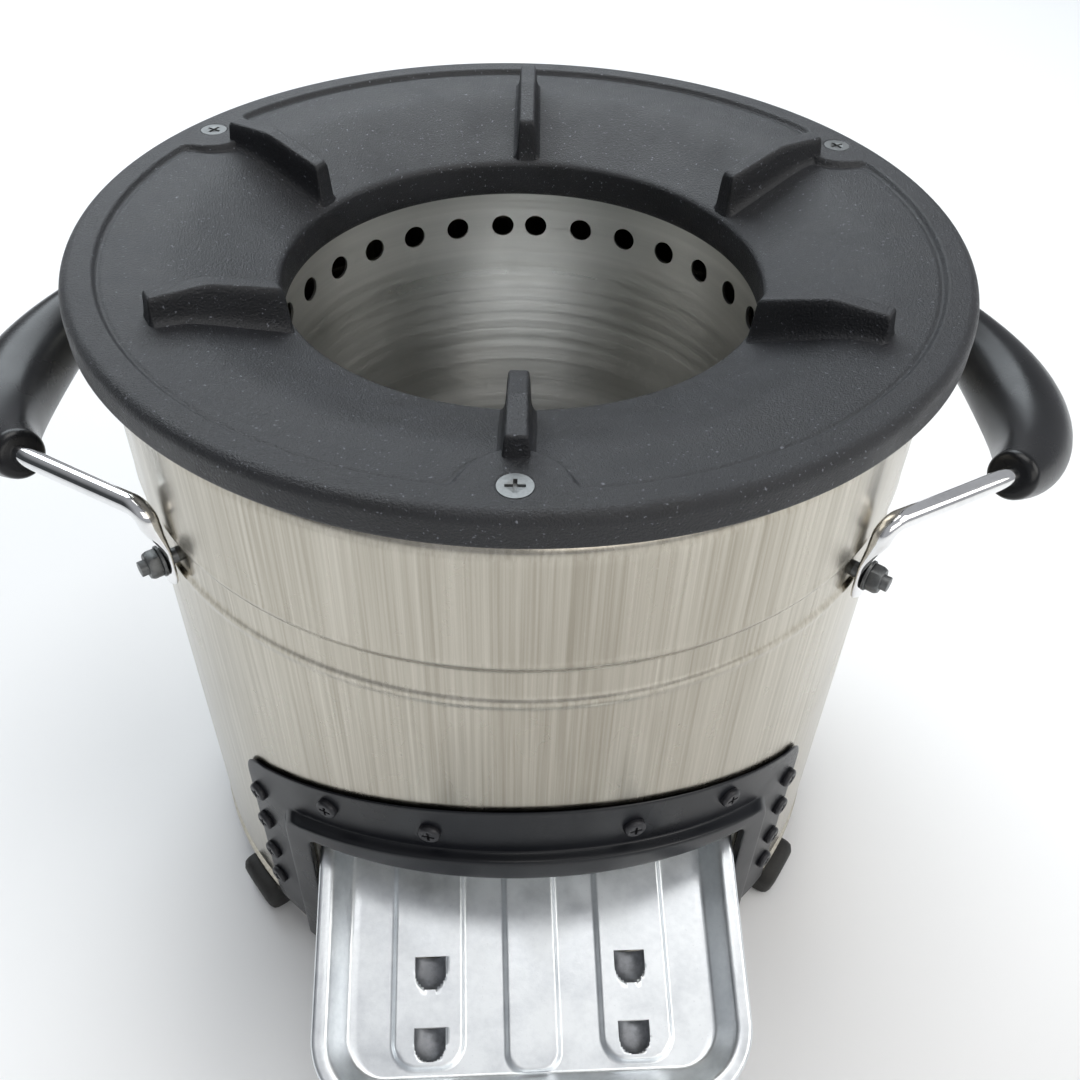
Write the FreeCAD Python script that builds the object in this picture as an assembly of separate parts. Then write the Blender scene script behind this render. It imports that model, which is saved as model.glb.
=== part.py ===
# Rocket stove: round double-walled steel stove with a cast-iron top plate, two side handles
# and an inclined fuel tray that slides in a feed mouth at the front.
# Millimetres. +Z is up, the floor is z = 0 and the feed mouth faces -Y.
import FreeCAD, Part
import math
import os

os.makedirs("parts", exist_ok=True)
V = FreeCAD.Vector

# overall
rim_top = 265.0             # top face of the plate's rim above the floor
sheet = 1.0                 # steel sheet of body, chamber, tunnel, rails
feed_turn = 3.0             # feed mouth is fitted this far round from the front rib, degrees
gap = 0.3                   # room between curved sheets of different pieces
thread_play = 0.1           # radial play of a screw in its nut

# top plate
plate_r = 140.0
hole_r = 77.6
collar_low = rim_top - 28.4  # lower edge of the collar that reaches into the chamber
rim_inner_r = 130.0
plate_low = rim_top - 10.6
plate_seat = rim_top - 9.0
lobe_r = 13.5
screw_circle = 129.0
rib_half = 3.7
rib_top = rim_top + 6.0      # pots stand on the level tops of the ribs
rib_count = 6

# outer body
body_low = 15.0
body_r = 131.2
neck_r = 124.0
neck_top = plate_seat - sheet

# combustion chamber
chamber_r = 82.6            # inside radius
chamber_top = rim_top - 21.7
air_hole_r = 4.3
air_hole_z = rim_top - 43.4
air_holes = 29
air_hole_pair = 9.05        # closer spacing across the seam at the back, degrees
air_seam = 1.7              # seam's own turn, degrees

# base
base_z = body_low + sheet
base_top = base_z + 1.2
floor_top = 31.0            # chamber floor and tunnel floor

# feed mouth, frame and hood
frame_r = body_r + gap
frame_sheet = 1.4
frame_half = 98.2
frame_top = rim_top - 128.8
frame_low = 20.5
frame_arch = 200.0
hood_r = 137.0
hood_half = 85.0
hood_top = rim_top - 150.0
hood_arch = 230.0
window_half = 75.5
window_top = rim_top - 160.5
window_low = floor_top
window_arch = 300.0
tunnel_half = 76.0
tunnel_mouth_top = 107.0    # outside height of the tunnel's roof at the mouth

# fuel tray
tilt = 20.0                 # tray and rails slope down towards the front
tray_out = 186.6            # how far the tray floor's front end stands from the stove's axis
tray_floor_z = 44.5         # height of the tray floor at that end
tray_half = 73.5
tray_length = 187.0
tray_wall = 9.0
rim_depth = 3.3
scoop_x = 34.5
scoop_half = 5.2
scoop_near = 21.3           # the two rows of scoops, from each end of the tray
scoop_next = 43.8

# handles
handle_turn = 53.0          # bolts stand this far round from the front and the back
tab_mid = 134.0             # middle of the flattened rod end, from the stove's axis
tab_half_thick = 1.5
rod_out = tab_mid + 2.2     # the rod stands clear of the body above its flattened end
bolt_z = rim_top - 73.0
rod_r = 3.2
grip_half_chord = 52.0
grip_end_x = 157.5
grip_mid_x = 178.5
grip_end_z = rim_top - 56.0
grip_mid_z = rim_top - 67.0

# feet
foot_turn = 54.0            # feet stand this far round from the feed mouth, and from its back
foot_turns = {"foot_front_right": feed_turn + foot_turn, "foot_rear_right": feed_turn + 180 - foot_turn,
              "foot_rear_left": feed_turn + foot_turn - 180, "foot_front_left": feed_turn - foot_turn}
foot_mid = 125.2
foot_size = 25.0
foot_screw_r = 123.0        # circle of the foot screws


def outline(corners, place):
    """Closed wire through (a, b, radius) corners, each rounded by its radius."""
    points = [V(a, b, 0) for a, b, radius in corners]
    starts = []
    middles = []
    ends = []
    for i, corner in enumerate(corners):
        point = points[i]
        back = (points[i - 1] - point).normalize()
        ahead = (points[(i + 1) % len(points)] - point).normalize()
        half = back.getAngle(ahead) / 2
        radius = corner[2]
        inward = (back + ahead).normalize()
        middle = point + inward * (radius / math.sin(half) - radius)
        starts.append(point + back * (radius / math.tan(half)))
        middles.append(middle)
        ends.append(point + ahead * (radius / math.tan(half)))
    edges = []
    for i, corner in enumerate(corners):
        start = place(starts[i].x, starts[i].y)
        end = place(ends[i].x, ends[i].y)
        if corner[2] > 0:
            middle = place(middles[i].x, middles[i].y)
            edges.append(Part.Arc(start, middle, end).toShape())
        j = (i + 1) % len(corners)
        following = place(starts[j].x, starts[j].y)
        if end.distanceToPoint(following) > 0.001:
            edges.append(Part.makeLine(end, following))
    return Part.Wire(edges)


def in_section(a, b):
    return V(a, 0, b)


def in_plan(a, b):
    return V(a, b, 0)


def turn(shape, degrees):
    """Copy of a shape turned about the stove's axis; positive goes from the front to +X."""
    turned = shape.copy()
    turned.rotate(V(0, 0, 0), V(0, 0, 1), degrees)
    return turned


def revolved(corners):
    face = Part.Face(outline(corners, in_section))
    return face.revolve(V(0, 0, 0), V(0, 0, 1), 360)


def tube(inner, outer, low, high):
    shell = Part.makeCylinder(outer, high - low, V(0, 0, low))
    return shell.cut(Part.makeCylinder(inner, high - low, V(0, 0, low)))


def forward_rod(radius, near, far, x, z):
    """Cylinder that points to the front, from near to far from the axis."""
    return Part.makeCylinder(radius, far - near, V(x, -near, z), V(0, -1, 0))


def radial_rod(radius, near, far, degrees, z):
    return turn(forward_rod(radius, near, far, 0, z), degrees)


def hexagon(across, low, high):
    """Six-sided prism that points to the front, from low to high from the axis."""
    reach = across / math.sqrt(3)
    corners = [V(reach * math.cos(k * math.pi / 3), -low, reach * math.sin(k * math.pi / 3))
               for k in range(7)]
    return Part.Face(Part.makePolygon(corners)).extrude(V(0, low - high, 0))


def cross_recess(size, near, depth):
    """Cross for a screwdriver, sunk into a head whose face is at near from the axis."""
    slot = Part.makeBox(2 * size, depth, 0.9, V(-size, -near, -0.45))
    other = Part.makeBox(0.9, depth, 2 * size, V(-0.45, -near, -size))
    return slot.fuse(other)


def front_prism(half_width, low, high, arch, corner):
    """Prism through the front whose top edge is an arch."""
    side = high - (arch - math.sqrt(arch * arch - half_width * half_width))
    face = Part.Face(Part.Wire([
        Part.makeLine(V(half_width, 0, side), V(half_width, 0, low)),
        Part.makeLine(V(half_width, 0, low), V(-half_width, 0, low)),
        Part.makeLine(V(-half_width, 0, low), V(-half_width, 0, side)),
        Part.Arc(V(-half_width, 0, side), V(0, 0, high), V(half_width, 0, side)).toShape()]))
    solid = face.extrude(V(0, -160, 0))
    if corner > 0:
        tops = [edge for edge in solid.Edges
                if all(abs(v.Z - side) < 0.01 for v in edge.Vertexes) and len(edge.Vertexes) == 2
                and abs(edge.Vertexes[0].X - edge.Vertexes[1].X) < 0.01]
        solid = solid.makeFillet(corner, tops)
    return solid


def tunnel_roof(out):
    """Outside height of the tunnel's roof at a distance out from the axis."""
    return tunnel_mouth_top + (129.0 - out) * math.tan(math.radians(tilt))


def tunnel_prism(half_width, low, drop, near, far):
    corners = [V(-half_width, -near, low), V(-half_width, -far, low),
               V(-half_width, -far, tunnel_roof(far) - drop),
               V(-half_width, -near, tunnel_roof(near) - drop)]
    face = Part.Face(Part.makePolygon(corners + corners[:1]))
    return face.extrude(V(2 * half_width, 0, 0))


def on_tray_slope(shape):
    """Place a shape drawn flat (x across, y inwards from the tray's front edge, z up)."""
    placed = shape.copy()
    placed.rotate(V(0, 0, 0), V(1, 0, 0), tilt)
    placed.translate(V(0, -tray_out, tray_floor_z))
    return turn(placed, feed_turn)


def tray_outline(inset, height, corner):
    half = tray_half - inset
    corners = [(-half, inset, corner), (half, inset, corner),
               (half, tray_length - inset, corner), (-half, tray_length - inset, corner)]
    return outline(corners, lambda a, b: V(a, b, height))


def top_plate():
    plate = revolved([
        (plate_r, plate_low, 2.0), (plate_r, rim_top, 3.5), (rim_inner_r, rim_top, 0.6),
        (129.4, rim_top - 1.4, 0.5), (110.0, rim_top - 2.4, 12.0), (hole_r, rim_top - 15.8, 2.0),
        (hole_r, collar_low, 1.0), (81.0, collar_low, 1.0), (81.0, rim_top - 21.8, 1.0),
        (108.0, plate_seat, 3.0), (136.4, plate_seat, 0.3), (136.4, plate_low, 0.5)])
    lobe = Part.makeCylinder(lobe_r, 6.0, V(0, -screw_circle, rim_top - 6.0))
    lobe = lobe.common(Part.makeCylinder(plate_r - 3.5, rim_top))
    section = outline([
        (118.5, rim_top - 6.5, 0.0), (118.2, rib_top, 1.2), (101.0, rib_top, 5.0),
        (81.0, rim_top - 0.5, 1.5), (78.2, rim_top - 16.5, 0.0), (82.0, rim_top - 17.0, 0.0),
        (108.0, rim_top - 6.5, 0.0)], lambda a, b: V(-rib_half, -a, b))
    rib = Part.Face(section).extrude(V(2 * rib_half, 0, 0))
    for k in range(3):
        plate = plate.fuse(turn(lobe, 120 * k))
    for k in range(rib_count):
        plate = plate.fuse(turn(rib, 60 * k))
    sink = Part.makeCone(2.7, 4.7, 2.4, V(0, -screw_circle, rim_top - 2.4))
    sink = sink.fuse(Part.makeCylinder(2.7, 12.0, V(0, -screw_circle, rim_top - 13.0)))
    for k in range(3):
        plate = plate.cut(turn(sink, 120 * k))
    return plate


def plate_screw():
    head = Part.makeCone(2.4, 4.5, 2.2, V(0, 0, -2.3))
    shank = Part.makeCylinder(2.4, 14.5, V(0, 0, -16.5))
    screw = head.fuse(shank)
    screw = screw.cut(Part.makeBox(5.0, 1.0, 1.3, V(-2.5, -0.5, -1.4)))
    screw = screw.cut(Part.makeBox(1.0, 5.0, 1.3, V(-0.5, -2.5, -1.4)))
    screw.translate(V(0, -screw_circle, rim_top))
    return screw


def plate_nut():
    nut = hexagon(8.0, 0.0, 4.0).cut(forward_rod(2.4 + thread_play, 0.0, 4.0, 0, 0))
    nut.rotate(V(0, 0, 0), V(1, 0, 0), 90)
    nut.translate(V(0, -screw_circle, neck_top))
    return nut


def top_ring():
    inner = chamber_r + sheet + gap
    ring = revolved([
        (136.0, neck_top, 0.0), (136.0, plate_seat, 0.0), (111.0, plate_seat, 3.0),
        (inner, plate_seat - 12.5, 1.0), (inner, plate_seat - 24.0, 0.0),
        (inner + sheet, plate_seat - 24.0, 0.0), (inner + sheet, plate_seat - 13.1, 0.5),
        (111.3, neck_top, 2.0), (neck_r - 2.3, neck_top, 0.3), (neck_r - 2.3, neck_top - 8.0, 0.0),
        (neck_r - 1.3, neck_top - 8.0, 0.0), (neck_r - 1.3, neck_top, 0.0)])
    for k in range(3):
        ring = ring.cut(turn(Part.makeCylinder(2.8, 6.0, V(0, -screw_circle, neck_top - 2)), 120 * k))
    return ring


def bolt_places():
    return [handle_turn, 180 - handle_turn, 180 + handle_turn, -handle_turn]


def outer_body():
    swage = [(1.0, 243.0, 3.0), (1.0, 204.0, 1.5), (-0.2, 200.0, 1.5), (-0.2, 190.0, 1.5),
             (0.5, 186.5, 1.5), (0.0, 150.0, 20.0), (0.0, 25.0, 1.0), (-1.0, 21.8, 1.0),
             (0.6, 19.3, 0.8)]
    outside = [(neck_r, neck_top, 0.0), (neck_r, 249.0, 2.0)]
    outside += [(body_r + step, z, radius) for step, z, radius in swage]
    outside += [(body_r + 0.6, body_low, 0.9), (119.0, body_low, 0.0), (119.0, base_z, 0.0),
                (body_r - 0.4, base_z, 0.3)]
    inside = [(body_r + step - sheet, z, radius) for step, z, radius in reversed(swage)]
    inside += [(neck_r - sheet, 248.4, 2.0), (neck_r - sheet, neck_top, 0.0)]
    body = revolved(outside + inside)
    window = front_prism(window_half + 2, window_low, window_top + 1.5, window_arch, 0.0)
    body = body.cut(turn(window, feed_turn))
    for degrees in bolt_places():
        body = body.cut(radial_rod(2.7, 120, 140, degrees, bolt_z))
    for degrees, z in frame_screw_places():
        body = body.cut(radial_rod(2.1, 120, 140, degrees, z))
    for degrees in foot_turns.values():
        body = body.cut(turn(Part.makeCylinder(2.7, 5.0, V(0, -foot_screw_r, body_low - 2)), degrees))
    return body


def combustion_chamber():
    chamber = tube(chamber_r, chamber_r + sheet, base_top, chamber_top)
    throat = tunnel_prism(tunnel_half, floor_top, sheet / math.cos(math.radians(tilt)), 20, 100)
    chamber = chamber.cut(turn(throat, feed_turn))
    pitch = (360 - air_hole_pair) / (air_holes - 1)
    for k in range(air_holes):
        degrees = 180 + air_seam + air_hole_pair / 2 + pitch * k
        chamber = chamber.cut(radial_rod(air_hole_r, 70, 95, degrees, air_hole_z))
    return chamber


def chamber_floor():
    outer = chamber_r - gap
    pan = Part.makeCylinder(outer, floor_top - base_top, V(0, 0, base_top))
    return pan.cut(Part.makeCylinder(outer - sheet, floor_top - sheet - base_top, V(0, 0, base_top)))


def base_plate():
    plate = Part.makeCylinder(129.0, base_top - base_z, V(0, 0, base_z))
    for k in range(20):
        plate = plate.cut(turn(Part.makeCylinder(6.0, 5.0, V(0, -101, base_z - 2)), 9 + 18 * k))
    for degrees in foot_turns.values():
        plate = plate.cut(turn(Part.makeCylinder(2.7, 5.0, V(0, -foot_screw_r, base_z - 2)), degrees))
    return plate


def feed_tunnel():
    wall = sheet / math.cos(math.radians(tilt))
    tunnel = tunnel_prism(tunnel_half + sheet, floor_top - sheet, 0.0, 25, 140)
    tunnel = tunnel.cut(tunnel_prism(tunnel_half, floor_top, wall, 20, 145))
    tunnel = tunnel.common(Part.makeCylinder(body_r - sheet - gap, 200))
    tunnel = tunnel.cut(Part.makeCylinder(chamber_r + sheet + gap, 200))
    return turn(tunnel, feed_turn).cut(rivet_holes())


def feed_frame():
    outer = frame_r + frame_sheet
    plate = tube(frame_r, outer, frame_low, 140).common(
        front_prism(frame_half, frame_low, frame_top, frame_arch, 8.0))
    hood = tube(frame_r, hood_r, window_low, 140).common(
        front_prism(hood_half, window_low, hood_top, hood_arch, 5.0))
    hollow = tube(frame_r - 1, hood_r - frame_sheet, window_low, 140).common(
        front_prism(hood_half - frame_sheet, window_low, hood_top - frame_sheet, hood_arch, 4.0))
    frame = plate.fuse(hood).cut(hollow)
    frame = frame.cut(front_prism(window_half, frame_low - 1, window_top, window_arch, 3.0))
    frame = turn(frame, feed_turn)
    for degrees, z in frame_screw_places():
        frame = frame.cut(radial_rod(2.1, 120, 140, degrees, z))
    return frame


def frame_screw_places():
    """Turn and height of each frame screw: four along the top band and four down each side."""
    top = [(30.0, rim_top - 148.5), (14.2, rim_top - 143.2)]
    side = [(45.3, rim_top - drop) for drop in (169.5, 187.5, 207.4, 225.0)]
    return [(feed_turn + hand * degrees, z) for hand in (1, -1) for degrees, z in top + side]


def frame_screw():
    face = frame_r + frame_sheet + 0.07
    head = Part.makeCylinder(3.7, 2.1, V(0, -face, 0), V(0, -1, 0))
    rounded = head.makeFillet(1.2, [edge for edge in head.Edges
                                    if abs(edge.BoundBox.YMin + face + 2.1) < 0.01
                                    and abs(edge.BoundBox.YMax + face + 2.1) < 0.01])
    screw = rounded.fuse(forward_rod(1.9, 128.0, face, 0, 0))
    return screw.cut(cross_recess(2.1, face + 2.1, 1.2))


def fuel_tray():
    outer = Part.makeLoft([tray_outline(10.5, -1.0, 8.0), tray_outline(2.4, tray_wall, 15.0)], True, True)
    inner = Part.makeLoft([tray_outline(11.2, 0.0, 7.4), tray_outline(3.4, tray_wall, 14.0)], True, True)
    rim = Part.Face(tray_outline(0.0, tray_wall - rim_depth, 17.0)).extrude(V(0, 0, rim_depth))
    rim = rim.cut(Part.Face(tray_outline(3.1, 0.0, 14.2)).extrude(V(0, 0, 20)))
    tray = outer.fuse(rim).cut(inner)
    for x, half in ((-35.2, 11.2), (0.0, 8.2), (35.2, 11.2)):
        corners = [(x - half, 15.0, 5.0), (x + half, 15.0, 5.0),
                   (x + half, tray_length - 15.0, 5.0), (x - half, tray_length - 15.0, 5.0)]
        bead = Part.Face(outline(corners, lambda a, b: V(a, b, -0.4))).extrude(V(0, 0, 1.8))
        tray = tray.fuse(bead)
    for x in (-scoop_x, scoop_x):
        for y in scoop_rows():
            tray = tray.cut(Part.makeBox(2 * scoop_half, 3.0, 6.0, V(x - scoop_half, y + 1.5, -3.0)))
    return on_tray_slope(tray)


def scoop_rows():
    near = [scoop_near, scoop_next]
    return near + [tray_length - y for y in near]


def tray_rail(side):
    """C-shaped rail that holds the tray's curled edge, on the tunnel wall."""
    low = tray_wall - rim_depth - 0.3
    high = tray_wall + 0.3
    near = (tray_out - 102.0) / math.cos(math.radians(tilt))
    far = (tray_out - 44.0) / math.cos(math.radians(tilt))
    web = tunnel_half - 0.1
    channel = Part.makeBox(web - 70.8, far - near, high - low + 2 * sheet, V(70.8, near, low - sheet))
    slot = Part.makeBox(web - sheet - 70.0, far - near, high - low, V(70.0, near, low))
    rail = channel.cut(slot)
    if side < 0:
        rail = rail.mirror(V(0, 0, 0), V(1, 0, 0))
    return on_tray_slope(rail).cut(rivet_holes())


def rivet_rows():
    near = (tray_out - 92.0) / math.cos(math.radians(tilt))
    far = (tray_out - 54.0) / math.cos(math.radians(tilt))
    return [(side, y) for side in (1, -1) for y in (near, far)]


def rivet_height():
    return tray_wall - rim_depth / 2


def rivet_holes():
    holes = []
    for side, y in rivet_rows():
        holes.append(Part.makeCylinder(1.35, 8, V(side * 72, y, rivet_height()), V(side, 0, 0)))
    return on_tray_slope(Part.makeCompound(holes))


def rail_rivets():
    rivets = []
    for side, y in rivet_rows():
        start = V(side * (tunnel_half - 1.1), y, rivet_height())
        head = V(side * (tunnel_half + sheet), y, rivet_height())
        shank = Part.makeCylinder(1.25, 2.1, start, V(side, 0, 0))
        rivets.append(shank.fuse(Part.makeCylinder(2.4, 1.1, head, V(side, 0, 0))))
    return on_tray_slope(Part.makeCompound(rivets))


def grip_arc():
    """Centre line of the right grip, from front to back."""
    start = V(grip_end_x, -grip_half_chord, grip_end_z)
    middle = V(grip_mid_x, 0, grip_mid_z)
    arc = Part.Arc(start, middle, V(grip_end_x, grip_half_chord, grip_end_z)).toShape()
    return arc


def rod_path():
    """Right rod from the front tab to the middle of the grip: edges joined by tangent arcs."""
    arc = grip_arc()
    quarter = arc.valueAt(arc.getParameterByLength(arc.Length / 4))
    start = arc.Vertexes[0].Point
    half = Part.Arc(start, quarter, V(grip_mid_x, 0, grip_mid_z)).toShape()
    outward = V(math.sin(math.radians(handle_turn)), -math.cos(math.radians(handle_turn)), 0)
    begin = outward * rod_out + V(0, 0, bolt_z + 15)
    elbow = outward * rod_out + V(0, 0, bolt_z + 21)
    along = half.tangentAt(half.FirstParameter)
    knee = start - along * 6.0
    return begin, elbow, knee, start, half


def bend(before, corner, after, radius):
    back = (before - corner).normalize()
    ahead = (after - corner).normalize()
    half = back.getAngle(ahead) / 2
    inward = (back + ahead).normalize()
    start = corner + back * (radius / math.tan(half))
    end = corner + ahead * (radius / math.tan(half))
    middle = corner + inward * (radius / math.sin(half) - radius)
    return start, middle, end


def front_half_edges():
    begin, elbow, knee, start, half = rod_path()
    a, b, c = bend(begin, elbow, knee, 5.5)
    d, e, f = bend(elbow, knee, start, 13.0)
    edges = [Part.makeLine(begin, a), Part.Arc(a, b, c).toShape(), Part.makeLine(c, d),
             Part.Arc(d, e, f).toShape(), Part.makeLine(f, start)]
    return [edge for edge in edges if edge.Length > 0.01], half


def mirrored_back(shape):
    return shape.mirror(V(0, 0, 0), V(0, 1, 0))


def rod_half(radius):
    edges, half = front_half_edges()
    wire = Part.Wire(edges + [half])
    begin = wire.Edges[0].valueAt(wire.Edges[0].FirstParameter)
    circle = Part.Wire(Part.makeCircle(radius, begin, V(0, 0, 1)))
    return wire.makePipeShell([circle], True, True)


def handle_tab():
    """Flattened and drilled end of the rod, in the plane that touches the body."""
    corners = [(-5.5, bolt_z - 9.5, 5.0), (5.5, bolt_z - 9.5, 5.0),
               (4.2, bolt_z + 19.0, 3.0), (-4.2, bolt_z + 19.0, 3.0)]
    face = Part.Face(outline(corners, lambda a, b: V(a, -tab_mid + tab_half_thick, b)))
    tab = face.extrude(V(0, -2 * tab_half_thick, 0))
    tab = tab.cut(forward_rod(2.7, 120, 150, 0, bolt_z))
    return turn(tab, handle_turn)


def handle_rod():
    front = rod_half(rod_r).fuse(handle_tab())
    return front.fuse(mirrored_back(front)).removeSplitter()


def grip_stations():
    """Place, direction and radius of each section along the front half of the grip."""
    edges, half = front_half_edges()
    wire = Part.Wire(edges[3:] + [half])
    spots = []
    lead = sum(edge.Length for edge in edges[3:])
    whole = lead + half.Length
    for share, radius in ((0.14, 8.0), (0.28, 10.2), (0.46, 12.6), (0.7, 14.1), (1.0, 14.6)):
        distance = share * whole
        for edge in wire.OrderedEdges:
            if distance <= edge.Length + 0.001:
                parameter = edge.getParameterByLength(min(distance, edge.Length))
                spots.append((edge.valueAt(parameter), edge.tangentAt(parameter), radius))
                break
            distance -= edge.Length
    return spots


def handle_grip():
    stations = grip_stations()
    back = [(V(p.x, -p.y, p.z), V(-t.x, t.y, -t.z), radius) for p, t, radius in stations[-2::-1]]
    wires = [Part.Wire(Part.makeCircle(radius, point, along))
             for point, along, radius in stations + back]
    grip = Part.makeLoft(wires, True, False)
    bore = rod_half(rod_r + 0.15)
    return grip.cut(bore).cut(mirrored_back(bore))


def handle_collars():
    point, along, radius = grip_stations()[0]
    collar = Part.makeCylinder(6.2, 4.0, point - along * 4.0, along)
    collar = collar.cut(rod_half(rod_r + 0.15))
    return Part.makeCompound([collar, mirrored_back(collar)])


def handle_bolt():
    inner_wall = body_r - 0.2 - sheet - 0.15
    bolt = forward_rod(2.45, inner_wall - 1, tab_mid + 8.6, 0, bolt_z)
    head = forward_rod(4.5, inner_wall - 3, inner_wall, 0, bolt_z)
    return bolt.fuse(head)


def handle_washer():
    face = tab_mid + tab_half_thick
    return forward_rod(5.0, face, face + 1, 0, bolt_z).cut(forward_rod(2.7, face, face + 1, 0, bolt_z))


def handle_nut():
    face = tab_mid + tab_half_thick + 1
    nut = hexagon(8.0, face, face + 4.0)
    nut = nut.common(Part.makeCone(5.9, 3.7, 4.4, V(0, -face, 0), V(0, -1, 0)))
    nut = nut.cut(forward_rod(2.45 + thread_play, face, face + 4.0, 0, 0))
    nut.translate(V(0, 0, bolt_z))
    return nut


def both_ends(piece):
    """A fastener repeated at the front and the back bolt of the right handle."""
    return Part.makeCompound([turn(piece, handle_turn), turn(piece, 180 - handle_turn)])


def left_of(shape):
    return shape.mirror(V(0, 0, 0), V(1, 0, 0))


def foot():
    half = foot_size / 2
    square = [(-half, -foot_mid - half, 4.0), (half, -foot_mid - half, 4.0),
              (half, -foot_mid + half, 4.0), (-half, -foot_mid + half, 4.0)]
    small = [(x * 0.84, -foot_mid + (y + foot_mid) * 0.84, 3.4) for x, y, radius in square]
    top = outline(square, lambda a, b: V(a, b, body_low))
    low = outline(small, lambda a, b: V(a, b, 0))
    block = Part.makeLoft([low, top], True, True)
    return block.cut(Part.makeCylinder(2.4, 12.0, V(0, -foot_screw_r, body_low - 11.5)))


def foot_screw():
    shank = Part.makeCylinder(2.3, 14.0, V(0, -foot_screw_r, base_top - 13.5))
    head = Part.makeCylinder(4.4, 2.4, V(0, -foot_screw_r, base_top))
    return shank.fuse(head)


def group(pieces):
    return Part.makeCompound(pieces)


def build():
    """Every node by name."""
    nodes = {
        "top_plate": top_plate(),
        "plate_screws": group([turn(plate_screw(), 120 * k) for k in range(3)]),
        "plate_nuts": group([turn(plate_nut(), 120 * k) for k in range(3)]),
        "top_ring": top_ring(),
        "outer_body": outer_body(),
        "combustion_chamber": combustion_chamber(),
        "chamber_floor": chamber_floor(),
        "base_plate": base_plate(),
        "feed_tunnel": feed_tunnel(),
        "feed_frame": feed_frame(),
        "frame_screws": group([turn(frame_screw(), degrees).translated(V(0, 0, z))
                               for degrees, z in frame_screw_places()]),
        "fuel_tray": fuel_tray(),
        "tray_rail_right": tray_rail(1),
        "tray_rail_left": tray_rail(-1),
        "rail_rivets": rail_rivets(),
        "foot_screws": group([turn(foot_screw(), degrees) for degrees in foot_turns.values()]),
    }
    for name, degrees in foot_turns.items():
        nodes[name] = turn(foot(), degrees)
    handle = {
        "handle_rod": handle_rod(),
        "handle_grip": handle_grip(),
        "handle_collars": handle_collars(),
        "handle_bolts": both_ends(handle_bolt()),
        "handle_washers": both_ends(handle_washer()),
        "handle_nuts": both_ends(handle_nut()),
    }
    for name, shape in handle.items():
        nodes[name + "_right"] = shape
        nodes[name + "_left"] = left_of(shape)
    return nodes


def centre_front_to_back(nodes):
    """Distance along Y that brings the middle of the whole stove to y = 0."""
    boxes = [shape.optimalBoundingBox() for shape in nodes.values()]
    return -(min(box.YMin for box in boxes) + max(box.YMax for box in boxes)) / 2


nodes = build()
shift = V(0, centre_front_to_back(nodes), 0)
for name, shape in nodes.items():
    shape.translated(shift).exportStep("parts/" + name + ".step")
    print(name, len(shape.Solids), round(shape.Volume / 1000, 2), shape.isValid())
print("stove axis at y =", round(shift.y, 3))
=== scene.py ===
import math
import bmesh
import bpy
import numpy as np
from mathutils import Matrix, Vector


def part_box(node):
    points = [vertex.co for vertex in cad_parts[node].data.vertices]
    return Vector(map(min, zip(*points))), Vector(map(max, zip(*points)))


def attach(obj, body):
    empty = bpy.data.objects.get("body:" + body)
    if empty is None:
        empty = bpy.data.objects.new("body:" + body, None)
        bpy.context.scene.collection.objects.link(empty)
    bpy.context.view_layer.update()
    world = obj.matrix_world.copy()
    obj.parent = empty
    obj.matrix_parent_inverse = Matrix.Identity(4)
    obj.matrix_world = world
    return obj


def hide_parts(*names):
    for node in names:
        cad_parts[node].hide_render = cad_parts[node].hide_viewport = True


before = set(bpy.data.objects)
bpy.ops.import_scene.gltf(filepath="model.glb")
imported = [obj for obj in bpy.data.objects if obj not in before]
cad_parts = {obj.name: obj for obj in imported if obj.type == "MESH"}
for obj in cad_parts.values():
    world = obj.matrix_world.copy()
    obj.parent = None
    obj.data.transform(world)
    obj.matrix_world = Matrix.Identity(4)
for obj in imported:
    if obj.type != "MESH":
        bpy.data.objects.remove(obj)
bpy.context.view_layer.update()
mm = 0.001
low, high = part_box("top_plate")
axisY = (low[1] + high[1]) / 2 / mm    # the stove's own axis, in mm
rimTop = 265.0                          # top of the plate's rim
feedTurn = math.radians(3.0)            # feed mouth, tray and feet are turned to +X
feedTilt = math.radians(20.0)           # slope of the tray
print("frame loaded")


# all shapes are worked out in mm about the stove's own axis, with the front at -Y

def polar(radius, angle, z):
    # x is the radius times the sine and y minus the radius times the cosine of the angle, which goes
    # from the front towards +X
    radius, angle, z = np.broadcast_arrays(radius, angle, z)
    return np.stack([radius * np.sin(angle), -radius * np.cos(angle), z], -1)


def ease(x, start, end):
    # smooth step, 0 before start and 1 after end: three squares less two cubes of the share
    t = np.clip((x - start) / (end - start), 0, 1)
    return t * t * (3 - 2 * t)


def cutCorners(points, rounds):
    # each round replaces every corner by the points a quarter of the way to its neighbours
    points = np.asarray(points, float)
    for _ in range(rounds):
        before, after = points[:-1], points[1:]
        cut = np.stack([before * 0.75 + after * 0.25, before * 0.25 + after * 0.75], 1)
        points = np.vstack([points[:1], cut.reshape(-1, points.shape[1]), points[-1:]])
    return points


def easeBetween(knots, x):
    # value eased from knot to knot, level at each one
    knots = np.asarray(sorted(knots), float)
    i = np.clip(np.searchsorted(knots[:, 0], x) - 1, 0, len(knots) - 2)
    share = ease(x, knots[i, 0], knots[i + 1, 0])
    return knots[i, 1] * (1 - share) + knots[i + 1, 1] * share


def gridQuads(rows, columns, wrapRows, wrapColumns):
    # point numbers of each quad's corners, row after row, joined round where asked
    i = np.arange(rows if wrapRows else rows - 1)[:, None]
    j = np.arange(columns if wrapColumns else columns - 1)[None, :]
    nextI, nextJ = (i + 1) % rows, (j + 1) % columns
    corners = [i * columns + j, nextI * columns + j, nextI * columns + nextJ, i * columns + nextJ]
    return np.stack(np.broadcast_arrays(*corners), -1).reshape(-1, 4)


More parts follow.
